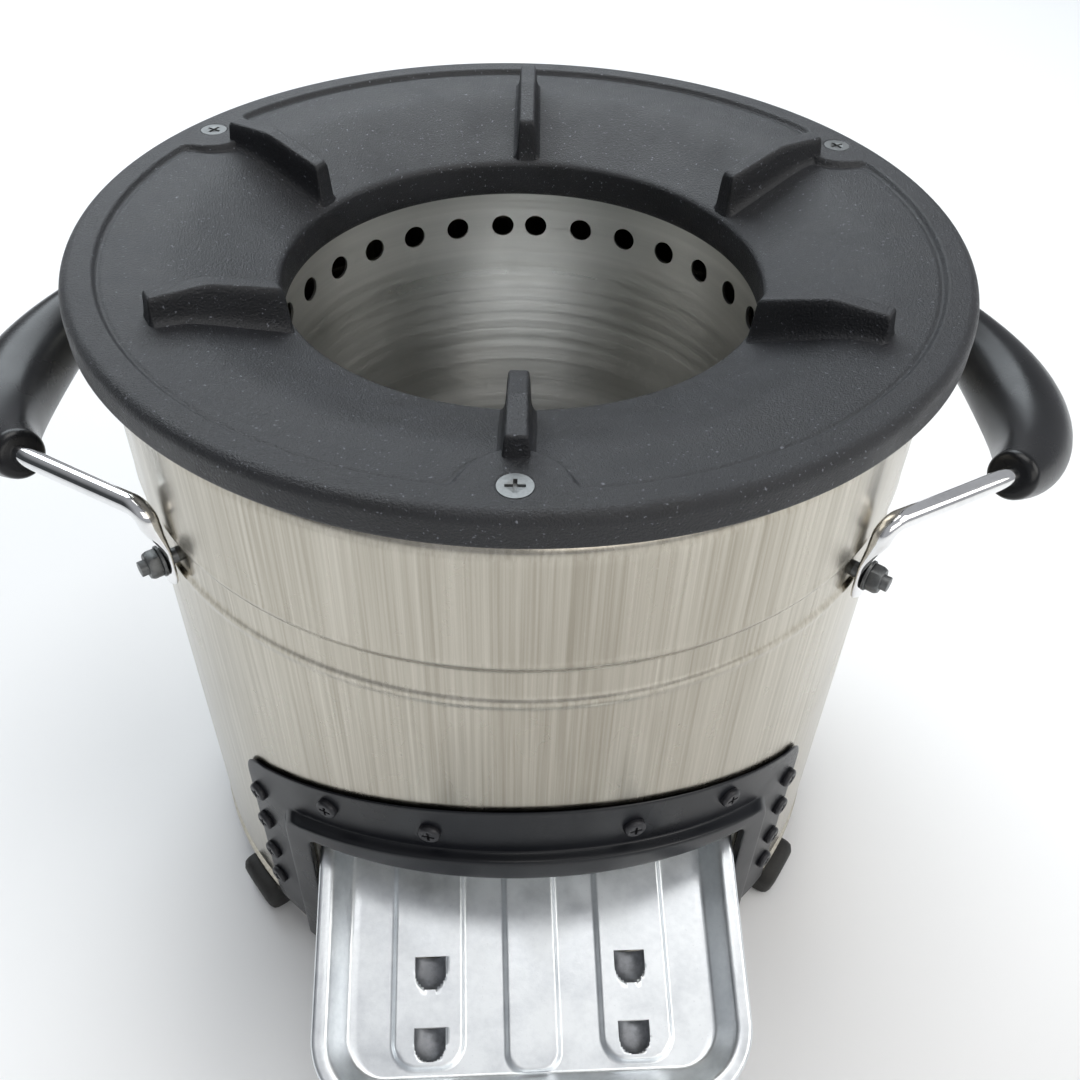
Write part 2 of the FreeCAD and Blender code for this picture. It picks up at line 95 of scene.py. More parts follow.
def grid(points, wrapRows=False, wrapColumns=False, drop=None):
    # one sheet of quads; drop is a mask of the quads to leave out
    rows, columns = points.shape[:2]
    quads = gridQuads(rows, columns, wrapRows, wrapColumns)
    if drop is not None:
        quads = quads[~drop.ravel()]
    return points.reshape(-1, 3), quads


def turnZ(points, angle):
    # turns points about the upright axis
    c, s = math.cos(angle), math.sin(angle)
    x, y = points[..., 0], points[..., 1]
    return np.stack([x * c - y * s, x * s + y * c, points[..., 2]], -1)


def turnedTo(facing, points, quads):
    # the sheet's faces look away from the axis ("out") or along the facing direction
    if facing is None:
        return quads
    a, b, c, d = (points[quads[:, k]] for k in range(4))
    normal = np.cross(c - a, d - b)
    want = (a + b + c + d) * [1, 1, 0] if facing == "out" else np.asarray(facing)
    return quads[:, ::-1] if (normal * want).sum() < 0 else quads


def makePiece(name, sheets, finish, nodeName, body="stove", facing=None, closed=False,
              wall=0.0, sharp=50.0):
    # joins the sheets, welds their seams, gives the piece its finish and body, and hides its CAD node
    count, allPoints, allQuads = 0, [], []
    for points, quads in sheets:
        allPoints.append(points)
        allQuads.append(turnedTo(facing, points, quads) + count)
        count += len(points)
    points, quads = np.vstack(allPoints), np.vstack(allQuads)
    points = (points + [0, axisY, 0]) * mm
    mesh = bpy.data.meshes.new(name)
    mesh.vertices.add(len(points))
    mesh.vertices.foreach_set("co", points.astype(np.float32).ravel())
    mesh.loops.add(quads.size)
    mesh.loops.foreach_set("vertex_index", quads.astype(np.int32).ravel())
    mesh.polygons.add(len(quads))
    mesh.polygons.foreach_set("loop_start", np.arange(0, quads.size, 4, dtype=np.int32))
    mesh.update(calc_edges=True)
    mesh.validate()
    finishMesh(mesh, closed, sharp)
    if wall:
        mesh = withWall(mesh, wall, sharp)
    return addPiece(name, mesh, finish, nodeName, body)


def withWall(mesh, wall, sharp):
    # a sheet gets its thickness behind the side it faces, or in front of it where wall is negative
    holder = bpy.data.objects.new("sheet", mesh)
    bpy.context.scene.collection.objects.link(holder)
    thick = holder.modifiers.new("wall", "SOLIDIFY")
    thick.thickness = abs(wall) * mm
    thick.offset = -1 if wall > 0 else 1
    thick.use_even_offset = False
    applied = holder.evaluated_get(bpy.context.evaluated_depsgraph_get())
    solid = bpy.data.meshes.new_from_object(applied)
    solid.name = mesh.name
    bpy.data.objects.remove(holder)
    solid.polygons.foreach_set("use_smooth", [True] * len(solid.polygons))
    solid.set_sharp_from_angle(angle=math.radians(sharp))
    return solid


def finishMesh(mesh, closed, sharp):
    # merges doubles, closes open rims where asked, and shades smooth up to the sharp angle
    bm = bmesh.new()
    bm.from_mesh(mesh)
    bmesh.ops.remove_doubles(bm, verts=bm.verts, dist=0.002 * mm)
    bmesh.ops.dissolve_degenerate(bm, edges=bm.edges, dist=0.001 * mm)
    if closed:
        rim = [edge for edge in bm.edges if edge.is_boundary]
        if rim:
            bmesh.ops.holes_fill(bm, edges=rim)
        bmesh.ops.recalc_face_normals(bm, faces=bm.faces)
    bm.to_mesh(mesh)
    bm.free()
    mesh.polygons.foreach_set("use_smooth", [True] * len(mesh.polygons))
    mesh.set_sharp_from_angle(angle=math.radians(sharp))


def addPiece(name, mesh, finish, nodeName, body, bevel=0.0):
    # the piece hides its CAD node and rides on its body
    piece = bpy.data.objects.new(name, mesh)
    bpy.context.scene.collection.objects.link(piece)
    mesh.materials.clear()
    mesh.materials.append(finish)
    if bevel:
        soft = piece.modifiers.new("softEdges", "BEVEL")
        soft.width = bevel * mm
        soft.segments = 2
        soft.limit_method = "ANGLE"
        soft.angle_limit = math.radians(40)
    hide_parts(nodeName)
    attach(piece, body)
    return piece


# shared effects, each one a node group

def newGroup(name, inputs, outputs):
    # inputs are names with their values; all sockets carry one number
    group = bpy.data.node_groups.new(name, "ShaderNodeTree")
    for label, value in inputs.items():
        socket = group.interface.new_socket(name=label, in_out="INPUT", socket_type="NodeSocketFloat")
        socket.default_value = value
    for label in outputs:
        group.interface.new_socket(name=label, in_out="OUTPUT", socket_type="NodeSocketFloat")
    start = group.nodes.new("NodeGroupInput")
    end = group.nodes.new("NodeGroupOutput")
    return group, start, end


def node(tree, kind, **settings):
    # a new node with its settings
    made = tree.nodes.new(kind)
    for key, value in settings.items():
        setattr(made, key, value)
    return made


def mathNode(tree, operation, a, b):
    # a and b are numbers or other nodes' outputs
    made = node(tree, "ShaderNodeMath", operation=operation)
    for socket, value in zip(made.inputs, (a, b)):
        if isinstance(value, (int, float)):
            socket.default_value = value
        else:
            tree.links.new(value, socket)
    return made.outputs[0]


def objectPoint(tree, stretch):
    # the place on the object, scaled along each axis: a larger number makes the pattern finer that way
    coords = node(tree, "ShaderNodeTexCoord")
    mapping = node(tree, "ShaderNodeMapping")
    mapping.inputs["Scale"].default_value = stretch
    tree.links.new(coords.outputs["Object"], mapping.inputs["Vector"])
    return mapping.outputs["Vector"]


def noise(tree, where, scale, detail=3.0, rough=0.55):
    # scale is a number or another node's output
    made = node(tree, "ShaderNodeTexNoise")
    made.inputs["Detail"].default_value = detail
    made.inputs["Roughness"].default_value = rough
    tree.links.new(where, made.inputs["Vector"])
    if isinstance(scale, (int, float)):
        made.inputs["Scale"].default_value = scale
    else:
        tree.links.new(scale, made.inputs["Scale"])
    return made.outputs["Fac"]


def grainGroup():
    # sand-cast or moulded grain: fine noise plus half of a broad noise
    group, start, end = newGroup("fineGrain", {"Scale": 700.0, "Waves": 60.0}, ("Grain", "Patches"))
    where = objectPoint(group, (1, 1, 1))
    fine = noise(group, where, start.outputs["Scale"], 4.0, 0.65)
    broad = noise(group, where, start.outputs["Waves"], 3.0)
    both = mathNode(group, "ADD", fine, mathNode(group, "MULTIPLY", broad, 0.5))
    group.links.new(both, end.inputs["Grain"])
    group.links.new(broad, end.inputs["Patches"])
    return group


def streakGroup(name, stretch, broadStretch):
    # drawing lines: noise pulled out along one direction, in fine lines and broad bands
    group, start, end = newGroup(name, {"Scale": 1.0}, ("Lines", "Bands"))
    fine = noise(group, objectPoint(group, stretch), start.outputs["Scale"], 3.0, 0.6)
    broad = noise(group, objectPoint(group, broadStretch), start.outputs["Scale"], 2.0)
    group.links.new(fine, end.inputs["Lines"])
    group.links.new(broad, end.inputs["Bands"])
    return group


def rangeOf(tree, value, lowest, highest, fromMin=0.3, fromMax=0.7, steps="LINEAR"):
    # value between fromMin and fromMax is spread over lowest to highest
    made = node(tree, "ShaderNodeMapRange", interpolation_type=steps)
    made.inputs["From Min"].default_value = fromMin
    made.inputs["From Max"].default_value = fromMax
    made.inputs["To Min"].default_value = lowest
    made.inputs["To Max"].default_value = highest
    tree.links.new(value, made.inputs["Value"])
    return made.outputs["Result"]


def smudgeAndSpeckGroup():
    # smudges are the high parts of a cloudy noise, specks those of a noise 40 times finer
    group, start, end = newGroup("smudges", {"Scale": 25.0}, ("Smudge", "Specks"))
    where = objectPoint(group, (1, 1, 1))
    cloud = noise(group, where, start.outputs["Scale"], 5.0, 0.6)
    dots = noise(group, where, mathNode(group, "MULTIPLY", start.outputs["Scale"], 40.0), 2.0)
    group.links.new(rangeOf(group, cloud, 0.0, 1.0, 0.45, 0.68, "SMOOTHSTEP"), end.inputs["Smudge"])
    group.links.new(rangeOf(group, dots, 0.0, 1.0, 0.66, 0.74, "SMOOTHSTEP"), end.inputs["Specks"])
    return group


grain = grainGroup()
upright = streakGroup("uprightLines", (900, 900, 7), (60, 60, 2.5))
level = streakGroup("levelRings", (3, 3, 260), (2, 2, 60))
smudges = smudgeAndSpeckGroup()


def mixColours(tree, factor, first, second):
    # each colour is three numbers or another node's output
    mix = node(tree, "ShaderNodeMix", data_type="RGBA")
    tree.links.new(factor, mix.inputs["Factor"])
    for socket, colour in ((mix.inputs[6], first), (mix.inputs[7], second)):    # the two colour sockets
        if isinstance(colour, tuple):
            socket.default_value = (*colour, 1)
        else:
            tree.links.new(colour, socket)
    return mix.outputs[2]                                                       # the mixed colour


def finishFrom(name, look):
    # the group in look["pattern"] gives a fine texture and a broad variation: together they set the
    # colour, the broad one sets the roughness and the fine one the bump, in mm
    material = bpy.data.materials.new(name)
    material.use_nodes = True
    tree = material.node_tree
    shader = tree.nodes["Principled BSDF"]
    texture = node(tree, "ShaderNodeGroup", node_tree=look["pattern"])
    for key, value in look.get("patternIn", {}).items():
        texture.inputs[key].default_value = value
    marks = node(tree, "ShaderNodeGroup", node_tree=smudges)
    marks.inputs["Scale"].default_value = 25.0
    fine, broad = texture.outputs[0], texture.outputs[1]
    fineShare = look.get("fineShare", 0.5)
    both = mathNode(tree, "ADD", mathNode(tree, "MULTIPLY", fine, fineShare),
                    mathNode(tree, "MULTIPLY", broad, 1 - fineShare))
    colour = mixColours(tree, rangeOf(tree, both, 0.0, 1.0), look["dark"], look["light"])
    # specks are mixed in with their own colour; on the cast iron these light specks are painted glints
    specks = mathNode(tree, "MULTIPLY", marks.outputs["Specks"], look.get("specks", 0.3))
    spotted = mixColours(tree, specks, colour, look.get("speckAndGlintColour", look["light"]))
    tree.links.new(spotted, shader.inputs["Base Color"])
    rough = rangeOf(tree, broad, *look["rough"])
    smeared = mathNode(tree, "MULTIPLY", marks.outputs["Smudge"], look.get("smudge", 0.06))
    tree.links.new(mathNode(tree, "ADD", rough, smeared), shader.inputs["Roughness"])
    shader.inputs["Metallic"].default_value = look.get("metallic", 0.0)
    shader.inputs["Specular IOR Level"].default_value = look.get("specular", 0.5)
    bump = node(tree, "ShaderNodeBump")
    bump.inputs["Distance"].default_value = look["bump"] * mm
    bump.inputs["Strength"].default_value = 1.0
    tree.links.new(fine, bump.inputs["Height"])
    tree.links.new(bump.outputs["Normal"], shader.inputs["Normal"])
    return material


looks = {
    # the cast iron's light grey specks are painted glints that stand for the sparkle of its grain
    "castIron": {"dark": (0.0025, 0.0028, 0.0036), "light": (0.011, 0.012, 0.015), "rough": (0.3, 0.46),
                 "bump": 0.42, "specks": 0.8, "speckAndGlintColour": (0.2, 0.21, 0.24), "fineShare": 0.6,
                 "smudge": 0.08, "pattern": grain, "patternIn": {"Scale": 1500.0, "Waves": 60.0}},
    "drawnSteel": {"dark": (0.35, 0.32, 0.26), "light": (0.63, 0.595, 0.52), "rough": (0.17, 0.3),
                   "bump": 0.02, "metallic": 1.0, "fineShare": 0.6, "smudge": 0.05, "pattern": upright},
    "chamberSteel": {"dark": (0.6, 0.6, 0.57), "light": (0.84, 0.83, 0.8), "rough": (0.26, 0.36),
                     "bump": 0.12, "metallic": 1.0, "fineShare": 0.4, "pattern": level},
    "sheetSteel": {"dark": (0.42, 0.42, 0.41), "light": (0.62, 0.62, 0.6), "rough": (0.3, 0.45),
                   "bump": 0.02, "metallic": 1.0, "pattern": upright, "patternIn": {"Scale": 0.8}},
    "blackEnamel": {"dark": (0.004, 0.0045, 0.006), "light": (0.009, 0.01, 0.013), "rough": (0.24, 0.36),
                    "bump": 0.03, "specular": 0.34, "specks": 0.08,
                    "pattern": grain, "patternIn": {"Scale": 900.0, "Waves": 30.0}},
    "blackScrew": {"dark": (0.008, 0.008, 0.01), "light": (0.03, 0.03, 0.034), "rough": (0.3, 0.45),
                   "bump": 0.04, "metallic": 0.3,
                   "pattern": grain, "patternIn": {"Scale": 1200.0, "Waves": 200.0}},
    "zincSteel": {"dark": (0.085, 0.09, 0.09), "light": (0.17, 0.175, 0.175), "rough": (0.36, 0.5),
                  "bump": 0.03, "metallic": 0.9,
                  "pattern": grain, "patternIn": {"Scale": 1500.0, "Waves": 250.0}},
    "chromePlate": {"dark": (0.72, 0.72, 0.72), "light": (0.88, 0.88, 0.88), "rough": (0.05, 0.12),
                    "bump": 0.01, "metallic": 1.0, "smudge": 0.05,
                    "pattern": grain, "patternIn": {"Scale": 400.0, "Waves": 60.0}},
    "galvanised": {"dark": (0.7, 0.73, 0.76), "light": (0.9, 0.93, 0.95), "rough": (0.3, 0.42),
                   "bump": 0.03, "metallic": 1.0, "specks": 0.25, "speckAndGlintColour": (0.55, 0.58, 0.61),
                   "fineShare": 0.4, "smudge": 0.08,
                   "pattern": grain, "patternIn": {"Scale": 500.0, "Waves": 70.0}},
    # the darker zinc that fills the scoops is painted shade in the dents
    "scoopShadeZinc": {"dark": (0.1, 0.105, 0.115), "light": (0.3, 0.31, 0.33), "rough": (0.4, 0.52),
                      "bump": 0.03, "metallic": 0.9,
                      "pattern": grain, "patternIn": {"Scale": 500.0, "Waves": 120.0}},
    "gripPhenolic": {"dark": (0.003, 0.0035, 0.004), "light": (0.008, 0.0085, 0.01), "rough": (0.22, 0.32),
                     "bump": 0.03, "specks": 0.1, "specular": 0.34,
                     "pattern": grain, "patternIn": {"Scale": 1100.0, "Waves": 40.0}},
    "footBlack": {"dark": (0.006, 0.006, 0.0055), "light": (0.02, 0.019, 0.017), "rough": (0.5, 0.68),
                  "bump": 0.12, "specks": 0.3,
                  "pattern": grain, "patternIn": {"Scale": 700.0, "Waves": 80.0}},
}
finishes = {name: finishFrom(name, look) for name, look in looks.items()}
print("finishes made")


# top plate: a dish with a rim, a lobe round each screw and six ribs; its heights are from the rim's top

plate = {"radius": 140.0, "stepRadius": 130.0, "stepHalf": 0.7, "edgeRound": 3.6, "thick": 10.6,
         "rimFace": 3.0, "rimFoot": 4.0, "seat": 9.0, "recess": 1.4, "flatSlope": 0.0515,
         "coneStart": 110.0, "coneSlope": 0.4136, "coneBlend": 2.5,
         "screwCircle": 129.0, "lobeRadius": 14.0, "lobeBlend": 1.6, "sinkRadius": 4.75, "sinkDepth": 2.5,
         "grooveDepth": 0.35, "grooveHalf": 0.7, "grooveAt": 1.0,
         "collar": [(109.0, -9.0), (81.4, -21.6), (81.0, -28.4), (77.6, -28.4), (77.6, -19.0),
                    (77.7, -16.6), (78.4, -15.75)]}
rib = {"count": 6, "crestHalf": 2.9, "draft": 0.75, "flare": 1.7, "flarePower": 10, "squareness": 12.0,
       "sunk": 0.35, "holeEdge": 79.5, "holeFloor": -18.5,
       "side": [(120.9, -3.4), (119.8, -2.6), (119.2, -1.4), (118.8, 1.0), (118.5, 3.6), (118.2, 6.0),
                (116.4, 6.0), (101.8, 6.0), (99.8, 5.55), (83.0, -0.1), (80.6, -1.0), (80.2, -4.5),
                (79.6, -12.5), (78.7, -16.5), (77.9, -19.0)]}
third = 2 * math.pi / 3    # angle from one plate screw to the next


def dishHeight(radius):
    # gentle slope in from the step, then a cone, blended by a soft corner: log of 1 plus an exponential
    blend = plate["coneBlend"]
    corner = blend * np.log1p(np.exp((plate["coneStart"] - radius) / blend))
    return (-plate["recess"] - plate["flatSlope"] * (plate["stepRadius"] - radius)
            - (plate["coneSlope"] - plate["flatSlope"]) * corner)


def plateTop(radius, angle):
    # the rim and a lobe round each screw stand level; a soft step leads down to the dish
    near = (angle + third / 2) % third - third / 2
    away = np.hypot(radius * np.sin(near), radius * np.cos(near) - plate["screwCircle"])
    k = plate["lobeBlend"]
    inside = k * np.logaddexp((radius - plate["stepRadius"]) / k, (plate["lobeRadius"] - away) / k)
    raised = ease(inside, -plate["stepHalf"], plate["stepHalf"])
    groove = plate["grooveDepth"] * np.exp(-((inside + plate["grooveAt"]) / plate["grooveHalf"]) ** 2)
    sink = np.clip(plate["sinkRadius"] - away, 0, plate["sinkDepth"])
    return dishHeight(np.minimum(radius, plate["stepRadius"])) * (1 - raised) - groove - sink


def plateShell():
    # rings of the top's height function, then the rounded edge, the underside and the collar in the hole
    fineTurn = np.radians(np.arange(-7.5, 7.5, 0.25))    # columns round each screw
    coarse = np.radians(np.arange(0, 360, 1.0))
    near = (coarse + third / 2) % third - third / 2
    angles = np.sort(np.concatenate([coarse[abs(near) > math.radians(7.4)]]
                                    + [(fineTurn + k * third) % (2 * math.pi) for k in range(3)]))
    r, e, thick = plate["radius"], plate["edgeRound"], plate["thick"]
    inner = r - plate["rimFoot"]
    topRadii = np.concatenate([np.linspace(79.2, 108, 28), np.arange(108.6, 134.0, 0.45),
                               np.arange(134.8, r - e + 0.1, 0.8)])
    top = plateTop(topRadii[:, None], angles[None, :])
    bend = np.radians(np.linspace(80, 0, 8))
    edge = np.stack([r - e + e * np.cos(bend), -e + e * np.sin(bend)], 1)
    under = [(r, plate["rimFace"] - thick), (r, -thick), (inner, -thick), (inner, -plate["seat"])]
    rest = np.vstack([edge, cutCorners(under + plate["collar"], 2)])
    radii = np.concatenate([topRadii, rest[:, 0]])
    heights = np.vstack([top, np.repeat(rest[:, 1:], len(angles), 1)]) + rimTop
    return grid(polar(radii[:, None], angles[None, :], heights), wrapRows=True, wrapColumns=True)


def ribShell(turn):
    # across: a superellipse, narrower to the crest and flared at the foot; along: the side profile,
    # which is (radius, height) of the crest
    side = cutCorners(rib["side"], 2)
    around = np.linspace(0, math.pi, 33)
    p = rib["squareness"]
    reach = (abs(np.cos(around)) ** p + abs(np.sin(around)) ** p) ** (-1 / p)
    rise = np.clip(reach * np.sin(around), 0, 1)
    across = reach * np.cos(around) * (rib["crestHalf"] + rib["draft"] * (1 - rise)
                                       + rib["flare"] * (1 - rise) ** rib["flarePower"])
    along = side[:, :1] + 0 * across
    sideways = across[None, :] + 0 * along
    radius = np.hypot(along, sideways)
    dish = dishHeight(np.minimum(radius, plate["stepRadius"]))
    floor = np.where(radius < rib["holeEdge"], rib["holeFloor"], dish) - rib["sunk"]
    crest = np.maximum(side[:, 1:], floor + 0.01)
    z = floor + (crest - floor) * rise + rimTop
    return grid(turnZ(np.stack([sideways, -along, z], -1), turn))


def makePlate():
    shells = [plateShell()] + [ribShell(2 * math.pi * k / rib["count"]) for k in range(rib["count"])]
    makePiece("topPlate", shells, finishes["castIron"], "top_plate",
              closed=True, sharp=60)


makePlate()
print("plate made")


# outer body and chamber: round walls with a mouth cut in the front

def withMouthEdges(angles, half):
    # the two nearest columns move on to the mouth's edges
    edge = [np.argmin(abs(angles - hand * half)) for hand in (-1, 1)]
    angles = angles.copy()
    angles[edge] = [-half, half]
    return angles, edge


def wallWithMouth(radiusAt, heights, angles, half, low, topAt, split):
    # a wall round the axis in four sheets: above split, below the mouth, beside it, and over it, where
    # rows are blended from the mouth's top edge to the split
    angles, edge = withMouthEdges(angles, half)
    beside = np.concatenate([angles[edge[1]:], angles[:edge[0] + 1] + 2 * math.pi])
    over = angles[edge[0]:edge[1] + 1]
    upper = np.unique(np.concatenate([heights[heights >= split], [split]]))
    lower = np.unique(np.concatenate([heights[heights < low], [low]]))
    middle = np.unique(np.concatenate([heights[(heights > low) & (heights < split)], [low, split]]))
    sheets = []
    for rows, columns, wrap in ((upper, angles, True), (lower, angles, True), (middle, beside, False)):
        sheets.append(grid(polar(radiusAt(rows)[:, None], columns[None, :] + feedTurn, rows[:, None]),
                           wrapColumns=wrap))
    share = np.linspace(0, 1, 14)[:, None]
    z = topAt(over)[None, :] * (1 - share) + split * share
    sheets.append(grid(polar(radiusAt(z), over[None, :] + feedTurn, z)))
    return sheets


body = {"radius": 131.2, "wall": 0.95, "low": 18.9, "top": 243.0, "split": 140.0,
        "window": 75.9, "windowLow": 31.0, "windowTop": 105.6, "windowArch": 300.0,
        "rows": [(31, 243, 6.0), (184, 209, 0.55), (18.9, 31, 0.6)],    # from, to, step
        "swage": [(250.0, 1.0), (206.5, 1.0), (204.2, 1.15), (200.2, -0.25), (190.6, -0.25), (187.6, 0.75),
                  (184.6, 0.35), (150.0, 0.1), (28.0, 0.0), (24.8, 0.0), (21.8, -1.0), (18.9, 0.6)],
        "neck": [(131.6, 246.0), (129.6, 248.6), (124.0, 249.0), (124.0, 251.0), (124.0, 255.0)],
        "foot": [(131.9, 17.0), (131.6, 15.0), (129.0, 15.0), (119.0, 15.2)]}


def bodyRadius(z):
    # the plain radius and what the swage adds, eased from height to height
    return body["radius"] + easeBetween(body["swage"], z)


def windowTop(angle):
    # the mouth's upper edge is a flat arch: a circle's height over the width
    across = body["radius"] * np.sin(angle)
    return body["windowTop"] - body["windowArch"] + np.sqrt(body["windowArch"] ** 2 - across ** 2)


def makeBody():
    # the wall with its mouth, then the neck and foot outlines turned round the axis
    angles = np.radians(np.arange(-180, 180, 1.2))
    heights = np.unique(np.concatenate([np.arange(*row) for row in body["rows"]] + [[body["top"]]]))
    half = math.asin(body["window"] / body["radius"])
    sheets = wallWithMouth(bodyRadius, heights, angles, half, body["windowLow"], windowTop, body["split"])
    columns, _ = withMouthEdges(angles, half)
    for key, end in (("neck", body["top"]), ("foot", body["low"])):
        line = cutCorners([(bodyRadius(np.array(end)), end)] + body[key], 2)
        sheets.append(grid(polar(line[:, :1], columns[None, :] + feedTurn, line[:, 1:]), wrapColumns=True))
    makePiece("outerBody", sheets, finishes["drawnSteel"], "outer_body",
              facing="out", wall=body["wall"])


makeBody()
print("body made")

chamber = {"radius": 82.6, "wall": 1.0, "low": 17.4, "top": rimTop - 21.7, "split": 150.0,
           "holes": 29, "holeRadius": 4.3, "holeHeight": rimTop - 43.4, "cellHalf": 7.0,
           "pairPitch": 9.05, "seamTurn": 1.7,                 # degrees: two holes close by the seam
           "mouth": 76.0, "mouthLow": 31.0, "roof": 107.0, "roofOut": 129.0,
           "ripple": 0.03, "ripplePitch": 6.2, "rippleTop": rimTop - 53.0, "fadeLow": 12.0, "fadeTop": 8.0}


def roundNormals(mesh, lowest):
    # above the lowest height, corner normals of the round faces point exactly from or to the axis
    corner = np.empty(len(mesh.loops), np.int32)
    mesh.loops.foreach_get("vertex_index", corner)
    points = np.empty(len(mesh.vertices) * 3)
    mesh.vertices.foreach_get("co", points)
    faceNormal = np.empty(len(mesh.polygons) * 3)
    mesh.polygons.foreach_get("normal", faceNormal)
    sides = np.empty(len(mesh.polygons), np.int32)
    mesh.polygons.foreach_get("loop_total", sides)
    away = (points.reshape(-1, 3)[corner] - [0, axisY * mm, 0]) * [1, 1, 0]
    away /= np.linalg.norm(away, axis=1, keepdims=True)
    facing = (away * np.repeat(faceNormal.reshape(-1, 3), sides, axis=0)).sum(1, keepdims=True)
    band = points.reshape(-1, 3)[corner, 2:] > lowest * mm
    mesh.normals_split_custom_set(np.where(band & (abs(facing) > 0.9), away * np.sign(facing), 0).tolist())


def airHoleCells():
    # one square cell of wall round each hole: four rings lead from the circle out to the square
    n, degree = chamber["holes"], chamber["radius"] * math.radians(1)
    pitch = (360 - chamber["pairPitch"]) / (n - 1)
    centres = 180 + chamber["seamTurn"] + chamber["pairPitch"] / 2 + pitch * np.arange(n)
    right = np.full(n, pitch / 2)
    left = np.full(n, pitch / 2)
    left[0] = right[-1] = chamber["pairPitch"] / 2
    side, one = np.linspace(-1, 1, 9), np.ones(9)
    square = np.concatenate([np.stack(pair, 1)[:-1] for pair in
                             ((side, -one), (one, side), (side[::-1], one), (-one, side[::-1]))])
    direction = np.arctan2(square[:, 1], square[:, 0])
    ring = np.array([0, 0.12, 0.4, 1.0])[:, None]
    sheets, columns = [], []
    for centre, toLeft, toRight in zip(centres, left, right):
        outerU = np.where(square[:, 0] < 0, square[:, 0] * toLeft, square[:, 0] * toRight) * degree
        outerW = square[:, 1] * chamber["cellHalf"]
        u = chamber["holeRadius"] * np.cos(direction) * (1 - ring) + outerU * ring
        w = chamber["holeRadius"] * np.sin(direction) * (1 - ring) + outerW * ring
        angle = np.radians(centre) + u / chamber["radius"]
        sheets.append(grid(polar(chamber["radius"], angle, chamber["holeHeight"] + w), wrapColumns=True))
        edge = np.where(side < 0, side * toLeft, side * toRight)[:-1]
        columns.append(np.radians(centre + edge))
    return sheets, np.sort((np.concatenate(columns) + math.pi) % (2 * math.pi) - math.pi)


def roofAt(angle):
    # the mouth's upper edge follows the tray's slope
    out = chamber["radius"] * np.cos(angle)
    return chamber["roof"] + (chamber["roofOut"] - out) * math.tan(feedTilt)


def chamberRadius(z):
    # faint ripples left by rolling: a sine in height that fades out at both ends
    start, end = chamber["split"], chamber["rippleTop"]
    fade = ease(z, start, start + chamber["fadeLow"]) * (1 - ease(z, end - chamber["fadeTop"], end))
    wave = np.sin(2 * math.pi * z / chamber["ripplePitch"])
    return chamber["radius"] + chamber["ripple"] * wave * fade


def makeChamber():
    # the band of air holes, the wall above it, and the rippled wall below it with the mouth
    sheets, angles = airHoleCells()
    bandLow = chamber["holeHeight"] - chamber["cellHalf"]
    bandTop = chamber["holeHeight"] + chamber["cellHalf"]
    above = np.array([bandTop, chamber["top"]])
    sheets.append(grid(polar(chamber["radius"], angles[None, :], above[:, None]), wrapColumns=True))
    split = chamber["split"]
    heights = np.unique(np.concatenate([[chamber["low"]], np.linspace(chamber["mouthLow"], split, 14),
                                        np.arange(split, bandLow, 1.0), [bandLow]]))
    half = math.asin(chamber["mouth"] / chamber["radius"])
    sheets += wallWithMouth(chamberRadius, heights, angles - feedTurn, half, chamber["mouthLow"],
                            roofAt, split)
    piece = makePiece("combustionChamber", sheets, finishes["chamberSteel"], "combustion_chamber",
                      facing="out", wall=-chamber["wall"])
    roundNormals(piece.data, bandLow - 0.5)


makeChamber()
print("chamber made")


# feed frame: one black pressing with a raised hood round the mouth

frameSheet = {"inner": 131.5, "thick": 1.4, "wall": 1.3, "low": 20.5, "proud": 136.9,
              "outline": {"half": 98.2, "top": rimTop - 128.8, "arch": 200.0, "corner": 8.0},
              "hood": {"half": 85.0, "top": rimTop - 150.0, "arch": 230.0, "corner": 6.0},
              "mouth": {"half": 75.5, "top": rimTop - 160.5, "arch": 300.0, "corner": 4.0}}


def archLine(edge):
    # up the left side, round the corner, over the arch and down the right side: (x, z) points
    half, top, arch, corner = edge["half"], edge["top"], edge["arch"], edge["corner"]
    side = top - (arch - math.sqrt(arch ** 2 - half ** 2))
    across = half - corner
    atCorner = top - (arch - math.sqrt(arch ** 2 - across ** 2))
    bend = np.linspace(0, math.pi / 2, 9)[1:-1]
    legHeights = np.linspace(frameSheet["low"], min(side, atCorner) - corner, 26)
    leg = np.stack([0 * legHeights - half, legHeights], 1)
    knee = np.stack([-half + corner * (1 - np.cos(bend)),
                     leg[-1, 1] + (atCorner - leg[-1, 1]) * np.sin(bend)], 1)
    x = np.linspace(-across, 0, 40)
    bow = np.stack([x, top - (arch - np.sqrt(arch ** 2 - x ** 2))], 1)
    left = np.vstack([leg, knee, bow])
    return np.vstack([left, (left * [-1, 1])[-2::-1]])


def makeFeedFrame():
    # rows run across the band from its outer edge to the mouth; each is a blend of two outlines
    outline, hood, mouth = (archLine(frameSheet[key]) for key in ("outline", "hood", "mouth"))
    face, proud = frameSheet["inner"] + frameSheet["thick"], frameSheet["proud"]
    # (share, radius): share 0 is the outer edge, 1 the hood's foot and 2 the mouth
    section = cutCorners([(0.0, face - 0.5), (0.015, face), (0.1, face), (0.92, face), (1.0, face + 0.1),
                          (1.03, face + 1.0), (1.05, proud - 0.6), (1.1, proud), (1.25, proud + 0.05),
                          (1.9, proud - 0.1), (1.99, proud - 0.4), (2.0, proud - 1.4), (2.0, face - 0.4)], 2)
    share = section[:, 0][:, None, None]
    flat = np.where(share < 1, outline + (hood - outline) * share, hood + (mouth - hood) * (share - 1))
    radius = section[:, 1][:, None]
    x, z = flat[..., 0], flat[..., 1]
    points = np.stack([x, -np.sqrt(radius ** 2 - x ** 2), z], -1)
    makePiece("feedFrame", [grid(turnZ(points, feedTurn))], finishes["blackEnamel"], "feed_frame",
              facing="out", wall=frameSheet["wall"], sharp=60)


makeFeedFrame()
print("feed frame made")


# fuel tray: pressed sheet with a rolled rim, raised panels and scoops

